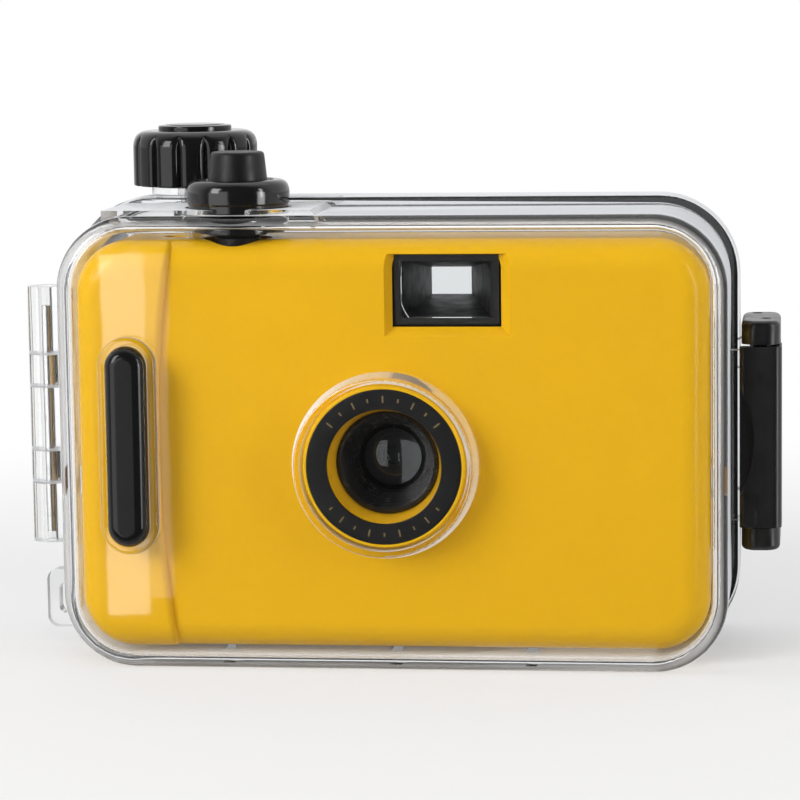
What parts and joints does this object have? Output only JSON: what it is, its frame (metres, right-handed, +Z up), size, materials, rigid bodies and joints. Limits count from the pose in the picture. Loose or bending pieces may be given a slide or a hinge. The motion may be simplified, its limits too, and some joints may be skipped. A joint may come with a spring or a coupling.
{
  "type": "waterproof film camera",
  "caption": "Film camera in a clear hinged waterproof case, with a clasp, a sealed shutter button and a winding knob that drives the camera's own winder.",
  "frame": {"origin": "on the flat bottom of the case, in its middle, at the seam between the halves", "axes": "+X to the right as seen from the front, +Y to the back, +Z up"},
  "size_m": [0.1372, 0.0527, 0.0947],
  "materials": {
    "clear_plastic": "clear polycarbonate, polished",
    "black_rubber": "soft black rubber",
    "grip_black": "black gloss plastic",
    "steel": "stainless steel",
    "button_black": "black plastic, satin",
    "knob_black": "black plastic, semi gloss",
    "gear_plastic": "black acetal",
    "clasp_black": "black nylon, fine grain",
    "yellow_plastic": "yellow gloss plastic",
    "chassis_black": "black plastic",
    "dial_white": "white plastic",
    "shutter_metal": "blackened steel",
    "ring_black": "black gloss plastic",
    "lens_glass": "clear optical plastic"
  },
  "bodies": {
    "case_front": {"front_shell": "clear_plastic", "grip_strip": "grip_black", "hinge_pin": "steel", "button_collar": "button_black", "button_ring": "button_black", "button_o_ring": "black_rubber", "button_spring": "steel", "camera_front_cover": "yellow_plastic", "camera_chassis": "chassis_black", "cartridge_well": "chassis_black", "chamber_roof": "chassis_black", "lens_ring": "ring_black", "lens_barrel": "ring_black", "lens_glass": "lens_glass", "aperture_plate": "chassis_black", "finder_frame": "chassis_black", "finder_lens": "lens_glass", "finder_eyepiece": "lens_glass", "film_door_pin": "steel"},
    "case_rear": {"rear_shell": "clear_plastic", "gasket": "black_rubber", "knob_o_ring": "black_rubber", "link_pin": "steel"},
    "wind_knob": {"wind_knob": "knob_black", "knob_disc": "knob_black", "knob_shaft": "steel", "knob_clip": "steel", "knob_pinion": "gear_plastic"},
    "clasp_link": {"latch_link": "clasp_black", "lever_pin": "steel"},
    "clasp_lever": {"latch_lever": "clasp_black"},
    "case_button": {"button_cap": "button_black", "button_stem": "steel", "button_foot": "button_black"},
    "winder": {"wind_wheel": "gear_plastic", "takeup_spool": "gear_plastic"},
    "film_sprocket": {"sprocket": "gear_plastic"},
    "frame_counter": {"counter_dial": "dial_white"},
    "camera_release": {"release_button": "chassis_black"},
    "shutter": {"shutter_blade": "shutter_metal"},
    "camera_door": {"film_door": "chassis_black", "pressure_plate": "chassis_black"},
    "camera_door_latch": {"door_slider": "chassis_black"},
    "rewinder": {"rewind_crank": "chassis_black", "rewind_fork": "chassis_black"}
  },
  "joints": [
    {"name": "case_hinge", "type": "hinge", "parent": "case_front", "child": "case_rear", "pos_m": [-0.0659, 0, 0.04225], "axis": [0, 0, 1], "range_deg": [0, 165]},
    {"name": "clasp_link_hinge", "type": "hinge", "parent": "case_rear", "child": "clasp_link", "pos_m": [0.0632, 0.0065, 0.0394], "axis": [0, 0, 1], "range_deg": [0, 90]},
    {"name": "clasp_lever_hinge", "type": "hinge", "parent": "clasp_link", "child": "clasp_lever", "pos_m": [0.0649, -0.003, 0.0394], "axis": [0, 0, 1], "range_deg": [0, 90]},
    {"name": "knob_turn", "type": "hinge", "parent": "case_rear", "child": "wind_knob", "pos_m": [-0.03965, 0.01, 0.082], "axis": [0, 0, 1], "continuous": true},
    {"name": "button_press", "type": "slide", "parent": "case_front", "child": "case_button", "axis": [0, 0, -1], "range_m": [0, 0.0018], "stiffness_N_per_m": 400, "deforming": ["button_spring"]},
    {"name": "release_press", "type": "slide", "parent": "case_front", "child": "camera_release", "axis": [0, 0, -1], "range_m": [0, 0.0018]},
    {"name": "shutter_swing", "type": "hinge", "parent": "case_front", "child": "shutter", "pos_m": [0.0079, -0.011, 0.0421], "axis": [0, 1, 0], "range_deg": [0, 30]},
    {"name": "winder_turn", "type": "hinge", "parent": "case_front", "child": "winder", "pos_m": [-0.03965, -0.004, 0.04], "axis": [0, 0, 1], "continuous": true},
    {"name": "sprocket_turn", "type": "hinge", "parent": "case_front", "child": "film_sprocket", "pos_m": [-0.02405, 0.0074, 0.0366], "axis": [0, 0, 1], "continuous": true},
    {"name": "counter_turn", "type": "hinge", "parent": "case_front", "child": "frame_counter", "pos_m": [-0.03965, -0.004, 0.0724], "axis": [0, 0, 1], "continuous": true},
    {"name": "film_door_hinge", "type": "hinge", "parent": "case_front", "child": "camera_door", "pos_m": [-0.0512, 0.0162, 0.035], "axis": [0, 0, 1], "range_deg": [0, 76]},
    {"name": "door_latch_slide", "type": "slide", "parent": "case_front", "child": "camera_door_latch", "axis": [0, 0, 1], "range_m": [0, 0.003]},
    {"name": "rewind_turn", "type": "hinge", "parent": "case_front", "child": "rewinder", "pos_m": [0.0386, 0.002, 0.005], "axis": [0, 0, 1], "continuous": true}
  ],
  "couplings": [
    {"joint": "release_press", "follows": "button_press", "ratio": 1},
    {"joint": "shutter_swing", "follows": "button_press", "rad_per_m": 290},
    {"joint": "winder_turn", "follows": "knob_turn", "ratio": -0.4},
    {"joint": "sprocket_turn", "follows": "knob_turn", "ratio": -0.4},
    {"joint": "counter_turn", "follows": "knob_turn", "ratio": -0.01},
    {"joint": "film_door_hinge", "follows": "case_hinge", "ratio": 0.45}
  ]
}
